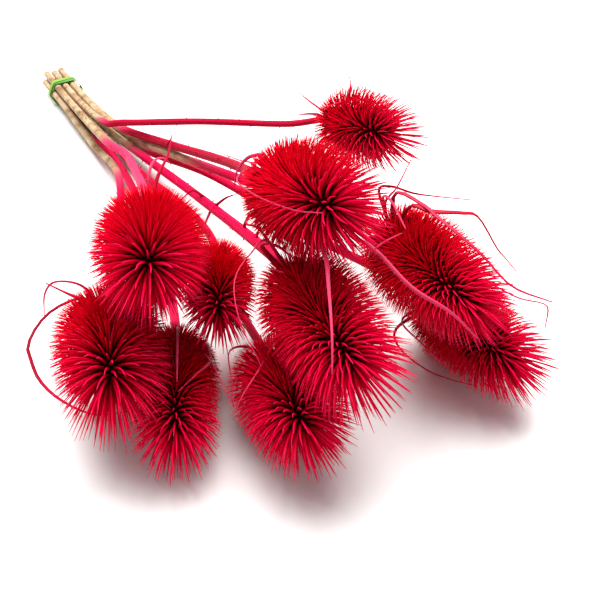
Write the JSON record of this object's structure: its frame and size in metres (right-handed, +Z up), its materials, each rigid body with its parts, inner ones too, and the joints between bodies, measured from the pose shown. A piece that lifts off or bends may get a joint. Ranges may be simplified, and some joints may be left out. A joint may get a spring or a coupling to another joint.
{
  "type": "teasel seed head bunch",
  "caption": "Bunch of dyed dried teasel seed heads on prickly stems, lying down, held near the cut ends by a rubber band.",
  "frame": {"origin": "middle of the bunch's box, on the surface that it lies on", "axes": "+Y along the stems towards the cut ends, the heads at -Y, +Z up"},
  "size_m": [0.2092, 0.3954, 0.1191],
  "materials": {
    "dyed_head": "dry, dyed right through, with a soft waxy sheen on the spines",
    "stem": "dry ridged stem, straw colour at the cut end and dyed red towards the head",
    "rubber_band": "smooth, slightly glossy green rubber"
  },
  "bodies": {
    "root": {"head_01": "dyed_head", "head_02": "dyed_head", "head_03": "dyed_head", "head_04": "dyed_head", "head_05": "dyed_head", "head_06": "dyed_head", "head_07": "dyed_head", "head_08": "dyed_head", "head_09": "dyed_head", "head_10": "dyed_head", "stem_01": "stem", "stem_02": "stem", "stem_03": "stem", "stem_04": "stem", "stem_05": "stem", "stem_06": "stem", "stem_07": "stem", "stem_08": "stem", "stem_09": "stem", "stem_10": "stem", "tie": "rubber_band"}
  },
  "joints": []
}
